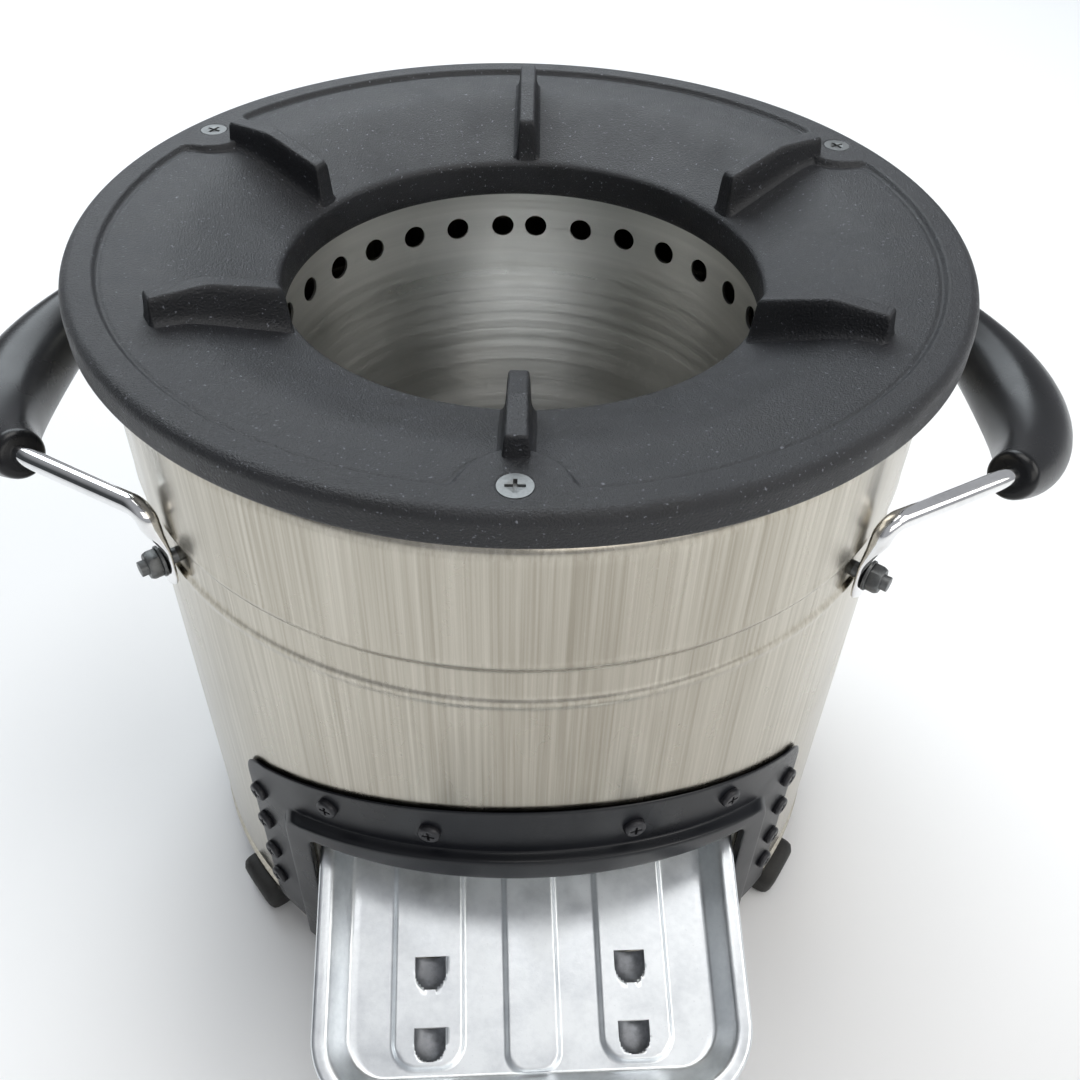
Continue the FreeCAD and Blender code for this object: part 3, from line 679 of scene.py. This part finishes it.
tray = {"out": 186.6, "floorHeight": 44.5, "length": 187.0, "half": 61.5, "near": 12.0, "corner": 12.5,
        "wall": 0.8, "panelHeight": 1.6, "panelSlope": 2.0, "slopeStart": -0.4,
        "panels": [(-35.2, 11.2, 14.6, 7.5), (0.0, 8.2, 12.5, 5.5),        # centre, half width,
                   (35.2, 11.2, 14.6, 7.5)],                               # inset at the ends, corner
        "scoopX": (-34.6, 34.2), "scoopY": (21.3, 43.8), "scoopHalf": 5.25, "scoopLong": 10.4,
        "scoopDepth": 4.2, "scoopTip": 0.45, "tipPower": 0.35,
        "rim": [(0.0, 0.0), (0.9, 0.25), (1.8, 1.3), (5.9, 7.6), (6.9, 8.75), (8.2, 9.0), (10.4, 9.0)],
        "curlAt": 10.35, "curlZ": 7.35, "curlRadius": 1.65}


def onTray(points):
    # flat tray to its slope in the feed mouth
    c, s = math.cos(feedTilt), math.sin(feedTilt)
    x, y, z = points[..., 0], points[..., 1], points[..., 2]
    sloped = np.stack([x, y * c - z * s - tray["out"], y * s + z * c + tray["floorHeight"]], -1)
    return turnZ(sloped, feedTurn)


def boxDistance(x, y, centre, half, near, far, corner):
    # signed distance to a rounded rectangle, negative inside: the distance to a smaller sharp one,
    # less the corner's radius
    qx = abs(x - centre) - (half - corner)
    qy = abs(y - (near + far) / 2) - ((far - near) / 2 - corner)
    return np.hypot(np.maximum(qx, 0), np.maximum(qy, 0)) + np.minimum(np.maximum(qx, qy), 0) - corner


def scoopSpots():
    # each scoop's middle and which way its cut edge lies
    rows = list(tray["scoopY"]) + [tray["length"] - y for y in tray["scoopY"]]
    return [(x, y, 1 if y < tray["length"] / 2 else -1) for x in tray["scoopX"] for y in rows]


def trayFloor(x, y):
    # flat, with panels raised by an eased slope and scoops pressed down
    z = np.zeros(np.broadcast(x, y).shape)
    for centre, half, near, corner in tray["panels"]:
        distance = boxDistance(x, y, centre, half, near, tray["length"] - near, corner)
        start = tray["slopeStart"]
        z = np.maximum(z, tray["panelHeight"] * (1 - ease(distance, start, start + tray["panelSlope"])))
    for centre, middle, hand in scoopSpots():
        # half-round dent, deepest at its cut edge and closed at its rounded end
        along = (middle + hand * tray["scoopLong"] / 2 - y) * hand / tray["scoopLong"]
        tip = np.clip((along - tray["scoopTip"]) / (1 - tray["scoopTip"]), 0, 1)
        width = tray["scoopHalf"] * np.maximum(np.sqrt(1 - tip ** 2), 0.01)
        bowl = np.sqrt(np.clip(1 - ((x - centre) / width) ** 2, 0, 1))
        inside = (along >= 0) & (along <= 1)
        depth = tray["scoopDepth"] * bowl * np.clip(1 - along, 0, 1) ** tray["tipPower"]
        z = z - np.where(inside, depth, 0)
    return z


def trayRows():
    # rows along the tray: even ones, closer ones at corners and panel ends, and two at each scoop's cut
    near, far, corner = tray["near"], tray["length"] - tray["near"], tray["corner"]
    bend = near + corner * (1 - np.cos(np.linspace(0, math.pi / 2, 12)))
    endRows = np.arange(0, 14, 0.8)
    cuts = []
    for _, middle, hand in scoopSpots():
        edge = middle + hand * tray["scoopLong"] / 2
        cuts += [edge - 0.02 * hand, edge + 0.02 * hand]
        cuts += list(edge - hand * np.linspace(0.3, tray["scoopLong"] + 0.2, 12))
    rows = np.concatenate([bend, tray["length"] - bend, np.linspace(near + corner, far - corner, 24),
                           near + endRows, far - endRows, cuts])
    rows = np.unique(rows.round(3))
    return rows[np.concatenate([[True], np.diff(rows) > 0.03])]


def trayColumns():
    # columns across it, as shares of the half width: even ones, and closer ones at panels and scoops
    half, lines = tray["half"], []
    for centre, width, _, _ in tray["panels"]:
        for hand in (-1, 1):
            lines += list(centre + hand * (width + np.linspace(-0.8, 2.0, 9)))
            lines += list(centre + hand * (width - np.arange(0.8, 6.0, 0.75)))
    for x in tray["scoopX"]:
        lines += list(x + tray["scoopHalf"] * np.sin(np.linspace(-math.pi / 2, math.pi / 2, 15)) * 1.02)
    columns = np.unique(np.concatenate([np.linspace(-half, half, 48), lines]).round(2))
    columns = columns[np.concatenate([[True], np.diff(columns) > 0.12])] / half
    columns[0], columns[-1] = -1, 1
    return columns


def trayOutline(rows, columns):
    # columns run straight up to the corners' centres, then close in with the rounded corners
    half, corner = tray["half"], tray["corner"]
    inset = np.zeros(len(rows))
    for fromEnd in (rows - tray["near"], tray["length"] - tray["near"] - rows):
        t = np.clip(corner - fromEnd, 0, corner)
        inset = np.maximum(inset, corner - np.sqrt(corner ** 2 - t ** 2))
    straight = half - corner - 0.4
    share = np.clip((abs(columns) * half - straight) / (half - straight), 0, 1)
    reach = np.minimum(abs(columns) * half, straight)[None, :] + share * (half - inset - straight)[:, None]
    x = np.sign(columns) * reach
    return x, rows[:, None] + 0 * x


def trayRim(x, y):
    # the rim's profile, with its rolled edge, carried round the floor's edge along the outward direction
    half, near, far, corner = tray["half"], tray["near"], tray["length"] - tray["near"], tray["corner"]
    edges = ((0, slice(None, -1)), (slice(None, -1), -1), (-1, slice(None, 0, -1)), (slice(None, 0, -1), 0))
    loop = np.concatenate([np.stack([x[edge], y[edge]], 1) for edge in edges])
    core = np.stack([np.clip(loop[:, 0], -half + corner, half - corner),
                     np.clip(loop[:, 1], near + corner, far - corner)], 1)
    away = loop - core
    away = away / np.maximum(np.linalg.norm(away, axis=1, keepdims=True), 1e-6)
    turn = np.radians(np.linspace(90, -200, 16))[1:]
    curl = np.stack([tray["curlAt"] + tray["curlRadius"] * np.cos(turn),
                     tray["curlZ"] + tray["curlRadius"] * np.sin(turn)], 1)
    section = np.vstack([cutCorners(tray["rim"], 2), curl])
    ring = loop[None] + away[None] * section[:, :1, None]
    return np.concatenate([ring, np.repeat(section[:, None, 1:], len(loop), 1)], -1)


def makeTray():
    # a grid of the floor's height function, open at the scoops' cut edges, and the rim
    rows, columns = trayRows(), trayColumns()
    x, y = trayOutline(rows, columns)
    openings = np.zeros((len(rows) - 1, x.shape[1] - 1), bool)
    xMid = (x[:-1, :-1] + x[1:, 1:]) / 2
    for centre, middle, hand in scoopSpots():
        edge = middle + hand * tray["scoopLong"] / 2
        row = (rows[:-1] < edge) & (rows[1:] > edge)
        openings |= row[:, None] & (abs(xMid - centre) < tray["scoopHalf"] * 0.97)
    floor = grid(onTray(np.stack([x, y, trayFloor(x, y)], -1)), drop=openings)
    rim = grid(onTray(trayRim(x, y)), wrapColumns=True)
    piece = makePiece("fuelTray", [floor, rim], finishes["galvanised"], "fuel_tray",
                      body="fuel_tray", facing=(0, -0.3, 1), wall=tray["wall"])
    paintScoopShade(piece.data)


def paintScoopShade(mesh):
    # the faces inside the scoops get a second, darker zinc finish as painted shade; points are laid back
    # flat to find them
    mesh.materials.append(finishes["scoopShadeZinc"])
    middles = np.empty(len(mesh.polygons) * 3)
    mesh.polygons.foreach_get("center", middles)
    flat = turnZ(middles.reshape(-1, 3) / mm - [0, axisY, 0], -feedTurn)
    c, s = math.cos(feedTilt), math.sin(feedTilt)
    y, z = flat[:, 1] + tray["out"], flat[:, 2] - tray["floorHeight"]
    x, y, z = flat[:, 0], y * c + z * s, z * c - y * s
    paintedShade = np.zeros(len(x), bool)
    for centre, middle, _ in scoopSpots():
        paintedShade |= (abs(x - centre) < tray["scoopHalf"]) & (abs(y - middle) < tray["scoopLong"] / 2)
    mesh.polygons.foreach_set("material_index", (paintedShade & (z < tray["panelHeight"] - 0.25)).astype(np.int32))


makeTray()
print("tray made")


# handles: bent rods with flattened ends, and grips that are thickest in the middle

handle = {"turn": math.radians(53.0), "tabOut": 134.0, "rodOut": 136.2, "boltHeight": rimTop - 73.0,
          "rod": 3.2, "tabHalf": 5.4, "tabThick": 1.45, "elbowRise": 21.0, "tabBelow": 9.5,
          "end": (157.5, -52.0, rimTop - 56.0), "middle": (178.5, 0.0, rimTop - 67.0),
          "kneeLead": 6.0, "elbowBend": 5.5, "kneeBend": 13.0,       # straight before the grip, bend radii
          "leanFrom": 4.0, "leanTo": 17.0, "flatTo": 14.0, "roundFrom": 27.0,
          "gripEnd": 7.9, "gripMiddle": 14.5, "gripRound": 2.6, "gripPower": 1.15, "gripLap": 3.8}


def handleRoute():
    # front half: up the tab, round two bends and along an arc to the middle; then its mirror image
    facing = np.array([math.sin(handle["turn"]), -math.cos(handle["turn"]), 0])
    start = facing * handle["rodOut"] + [0, 0, handle["boltHeight"] - handle["tabBelow"]]
    elbow = facing * handle["rodOut"] + [0, 0, handle["boltHeight"] + handle["elbowRise"]]
    end, middle = np.array(handle["end"]), np.array(handle["middle"])
    chord, sag = abs(end[1]), np.hypot(*(middle - end)[[0, 2]])
    radius = (chord ** 2 + sag ** 2) / (2 * sag)
    outward = np.array([(middle - end)[0], 0, (middle - end)[2]]) / sag
    swing = np.linspace(-math.asin(chord / radius), 0, 40)[:, None]
    arc = middle + outward * (radius * (np.cos(swing) - 1)) + np.array([0, 1, 0]) * (radius * np.sin(swing))
    along = (arc[1] - arc[0]) / np.linalg.norm(arc[1] - arc[0])
    knee = arc[0] - along * handle["kneeLead"]
    first = roundBend(start, elbow, knee, handle["elbowBend"])
    second = roundBend(elbow, knee, arc[0], handle["kneeBend"])
    rise = np.linspace(0, 1, 24)[:-1, None]
    straight = start * (1 - rise) + first[0] * rise
    lean = 1 - ease(straight[:, 2:] - handle["boltHeight"], handle["leanFrom"], handle["leanTo"])
    straight = straight - facing * (handle["rodOut"] - handle["tabOut"]) * lean
    half = np.vstack([straight, first, second, arc])
    whole = np.vstack([half, (half * [1, -1, 1])[-2::-1]])
    step = np.concatenate([[0], np.cumsum(np.linalg.norm(np.diff(whole, axis=0), axis=1))])
    return whole, step, step[len(straight) + len(first) + len(second)]


def alongRoute(whole, step, distance):
    # places on the route at the given distances from its start
    where = np.interp(distance, step, np.arange(len(step)))
    return np.stack([np.interp(where, np.arange(len(step)), whole[:, k]) for k in range(3)], 1)


def roundBend(before, corner, after, radius):
    # arc that rounds a corner: swung from one touching point to the other about the arc's centre
    back = (before - corner) / np.linalg.norm(before - corner)
    ahead = (after - corner) / np.linalg.norm(after - corner)
    half = math.acos(np.dot(back, ahead)) / 2
    reach = radius / math.tan(half)
    bisector = (back + ahead) / np.linalg.norm(back + ahead)
    centre = corner + bisector * radius / math.sin(half)
    start, end = corner + back * reach - centre, corner + ahead * reach - centre
    total = math.acos(np.clip(np.dot(start, end) / radius ** 2, -1, 1))
    t = np.linspace(0, 1, 14)[:, None]
    return centre + (np.sin((1 - t) * total) * start + np.sin(t * total) * end) / math.sin(total)


def sweep(spots, wide, thick, sideHint, sides=28):
    # ellipse of half sizes wide and thick carried along the line; each ring passes its side direction on
    tangent = np.gradient(spots, axis=0)
    tangent /= np.linalg.norm(tangent, axis=1, keepdims=True)
    side = np.zeros_like(spots)
    current = np.asarray(sideHint, float)
    for i, t in enumerate(tangent):
        current = current - t * np.dot(current, t)
        current /= np.linalg.norm(current)
        side[i] = current
    other = np.cross(tangent, side)
    around = np.linspace(0, 2 * math.pi, sides, endpoint=False)
    return (spots[:, None] + side[:, None] * (wide[:, None] * np.cos(around))[..., None]
            + other[:, None] * (thick[:, None] * np.sin(around))[..., None])


def rodShell(whole, step):
    # an ellipse that goes from flat at the tabs to round, with rounded tips
    ends = np.concatenate([np.linspace(0, 0.012, 12), np.linspace(0.0135, 0.14, 60),
                           np.linspace(0.145, 0.5, 40)])
    distance = np.concatenate([ends, 1 - ends[-2::-1]]) * step[-1]
    fromEnd = np.minimum(distance, step[-1] - distance)
    flat = 1 - ease(fromEnd, handle["flatTo"], handle["roundFrom"])
    wide = handle["rod"] + (handle["tabHalf"] - handle["rod"]) * flat
    thick = handle["rod"] + (handle["tabThick"] - handle["rod"]) * flat
    tip = np.clip(fromEnd / handle["tabHalf"], 0, 1)
    wide = wide * np.sqrt(np.maximum(1 - (1 - tip) ** 2, 0.0004))
    thick = thick * np.clip(tip * 8 + 0.3, 0, 1)
    acrossTab = [math.cos(handle["turn"]), math.sin(handle["turn"]), 0]
    return sweep(alongRoute(whole, step, distance), wide, thick, acrossTab)


def gripShell(whole, step, gripStart):
    # circles whose radius grows as a power of a sine towards the middle, rounded off at both ends
    t = (1 - np.cos(np.linspace(0, math.pi, 70))) / 2
    length = step[-1] - 2 * gripStart
    distance = gripStart + length * t
    radius = handle["gripEnd"] + ((handle["gripMiddle"] - handle["gripEnd"])
                                  * np.sin(math.pi * t) ** handle["gripPower"])
    close = np.clip(np.minimum(t, 1 - t) * length / handle["gripRound"], 0, 1)
    radius = radius - handle["gripRound"] * (1 - np.sqrt(1 - (1 - close) ** 2))
    return sweep(alongRoute(whole, step, distance), radius, radius, [0, 0, 1], 40)


def makeHandle(name, hand):
    # made on the right and mirrored for the left
    mirror = np.array([hand, 1, 1])
    whole, step, arcStart = handleRoute()
    rod = rodShell(whole, step) * mirror
    grip = gripShell(whole, step, arcStart - handle["gripLap"]) * mirror
    makePiece("handleRod." + name, [grid(rod, wrapColumns=True)], finishes["chromePlate"],
              "handle_rod_" + name, closed=True, sharp=60)
    makePiece("handleGrip." + name, [grid(grip, wrapColumns=True)], finishes["gripPhenolic"],
              "handle_grip_" + name, closed=True, sharp=60)


for name, hand in (("right", 1), ("left", -1)):
    makeHandle(name, hand)
print("handles made")


# feet: moulded blocks, wider at the top

foot = {"middle": 125.2, "half": 12.5, "taper": 0.86, "height": 15.0, "squareness": 7.0,
        "section": [(0.0, 0.0), (0.9, 0.0), (1.0, 0.12), (1.0, 1.0), (0.0, 1.0)],
        "turns": {"front_right": 54.0, "rear_right": 126.0, "rear_left": -126.0, "front_left": -54.0}}


def makeFoot(name, degrees):
    # superellipse rings, from the rounded lower edge up to the rim; turned from the feed mouth
    section = cutCorners(foot["section"], 2)
    around = np.linspace(0, 2 * math.pi, 48, endpoint=False)
    p = foot["squareness"]
    reach = (abs(np.cos(around)) ** p + abs(np.sin(around)) ** p) ** (-1 / p)
    width = foot["half"] * (foot["taper"] + (1 - foot["taper"]) * section[:, 1])
    scale = (width * section[:, 0])[:, None] * reach
    points = np.stack([scale * np.cos(around), scale * np.sin(around) - foot["middle"],
                       section[:, 1:] * foot["height"] + 0 * scale], -1)
    points = turnZ(points, math.radians(degrees) + feedTurn)
    makePiece("foot." + name, [grid(points, wrapColumns=True)], finishes["footBlack"],
              "foot_" + name, closed=True)


for name, degrees in foot["turns"].items():
    makeFoot(name, degrees)
print("feet made")


# small metal parts: the CAD shapes with softened edges

def softCopy(nodeName, pieceName, finish, bevel):
    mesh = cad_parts[nodeName].data.copy()
    mesh.name = pieceName
    finishMesh(mesh, False, 30)
    addPiece(pieceName, mesh, finish, nodeName, "stove", bevel)


softCopy("plate_screws", "plateScrews", finishes["zincSteel"], 0.18)
softCopy("frame_screws", "frameScrews", finishes["blackScrew"], 0.15)
for side in ("left", "right"):
    for kind, bevel in (("bolts", 0.3), ("nuts", 0.2), ("washers", 0.15)):
        softCopy("handle_" + kind + "_" + side, "handle" + kind.capitalize() + "." + side,
                 finishes["zincSteel"], bevel)
    softCopy("handle_collars_" + side, "handleCollars." + side, finishes["gripPhenolic"],
             0.8)

# these CAD parts keep their shape and get a finish
carried = {"plate_nuts": "zincSteel", "foot_screws": "zincSteel", "rail_rivets": "zincSteel",
           "top_ring": "sheetSteel", "chamber_floor": "sheetSteel", "base_plate": "sheetSteel",
           "feed_tunnel": "sheetSteel", "tray_rail_left": "sheetSteel", "tray_rail_right": "sheetSteel"}
for nodeName, finishName in carried.items():
    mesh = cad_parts[nodeName].data
    mesh.materials.clear()
    mesh.materials.append(finishes[finishName])
print("small parts made")


# floor, light and camera

def makeFloor():
    mesh = bpy.data.meshes.new("paleFloor")
    half = 3.0    # metres
    corners = [(-half, -half, 0), (half, -half, 0), (half, half, 0), (-half, half, 0)]
    mesh.from_pydata(corners, [], [(0, 1, 2, 3)])
    material = bpy.data.materials.new("paleFloor")
    material.use_nodes = True
    shader = material.node_tree.nodes["Principled BSDF"]
    shader.inputs["Base Color"].default_value = (0.86, 0.86, 0.86, 1)
    shader.inputs["Roughness"].default_value = 0.8
    mesh.materials.append(material)
    floor = bpy.data.objects.new("paleFloor", mesh)
    bpy.context.scene.collection.objects.link(floor)


def addLight(name, place, target, size, watts, colour):
    # a soft rectangle, in metres, that looks at its target
    data = bpy.data.lights.new(name, "AREA")
    data.shape = "RECTANGLE"
    data.size, data.size_y = size
    data.energy = watts
    data.color = colour
    light = bpy.data.objects.new(name, data)
    back = np.array(place, float) - np.array(target, float)
    back /= np.linalg.norm(back)
    right = np.cross([0, 0, 1], back)
    right = right / np.linalg.norm(right)
    up = np.cross(back, right)
    light.matrix_world = Matrix([[right[k], up[k], back[k], place[k]] for k in range(3)] + [[0, 0, 0, 1]])
    bpy.context.scene.collection.objects.link(light)


# name, place, target, size, watts, colour
lights = [("backSoft", (-0.5, 1.5, 1.6), (0, 0, 0.2), (2.2, 1.2), 36, (0.88, 0.95, 1.0)),
          ("rightSoft", (1.5, -0.5, 1.3), (0, 0, 0.15), (1.0, 1.2), 10, (1.0, 0.98, 0.94)),
          ("topSoft", (0.1, 0.1, 1.7), (0, 0.02, 0.1), (0.9, 0.9), 9, (1.0, 0.99, 0.97)),
          ("frontSoft", (0.9, -1.6, 1.1), (0, 0, 0.1), (1.6, 1.0), 8, (1.0, 0.97, 0.92))]
makeFloor()
for light in lights:
    addLight(*light)


studio = {"pale": (0.93, 0.95, 1.0), "dim": (0.12, 0.13, 0.14), "strength": 0.41}


def makeStudio():
    # pale surroundings, dimmer low down on the left: a ramp in the direction's X times one in its Z
    world = bpy.data.worlds.new("studio")
    world.use_nodes = True
    tree = world.node_tree
    way = node(tree, "ShaderNodeSeparateXYZ")
    tree.links.new(node(tree, "ShaderNodeTexCoord").outputs["Generated"], way.inputs["Vector"])
    leftness = rangeOf(tree, way.outputs["X"], 1.0, 0.0, -0.9, -0.4)
    lowness = rangeOf(tree, way.outputs["Z"], 1.0, 0.0, 0.35, 0.85)
    dim = mathNode(tree, "MULTIPLY", leftness, lowness)
    colour = mixColours(tree, dim, studio["pale"], studio["dim"])
    tree.links.new(colour, tree.nodes["Background"].inputs["Color"])
    tree.nodes["Background"].inputs["Strength"].default_value = studio["strength"]
    bpy.context.scene.world = world


makeStudio()
bpy.context.scene.view_settings.view_transform = "Standard"

cameraView = {"place": (2.67, -323.3, rimTop + 163.9), "lens": 36.75,
              "down": 42.96, "toRight": 1.02, "roll": 1.88}    # degrees


def makeCamera():
    # looks ahead along the downward and rightward angles, then rolls about that line
    down, right, roll = (math.radians(cameraView[key]) for key in ("down", "toRight", "roll"))
    ahead = np.array([math.sin(right) * math.cos(down), math.cos(right) * math.cos(down), -math.sin(down)])
    level = np.array([math.cos(right), -math.sin(right), 0])
    up = np.cross(level, ahead)
    sideways = math.cos(roll) * level + math.sin(roll) * up
    upright = -math.sin(roll) * level + math.cos(roll) * up
    place = (np.array(cameraView["place"]) + [0, axisY, 0]) * mm
    data = bpy.data.cameras.new("camera")
    data.lens = cameraView["lens"]
    data.sensor_width = 36.0
    data.clip_start = 0.01
    camera = bpy.data.objects.new("camera", data)
    rows = [[sideways[k], upright[k], -ahead[k], place[k]] for k in range(3)]
    camera.matrix_world = Matrix(rows + [[0, 0, 0, 1]])
    bpy.context.scene.collection.objects.link(camera)
    bpy.context.scene.camera = camera


makeCamera()
print("camera and light made")
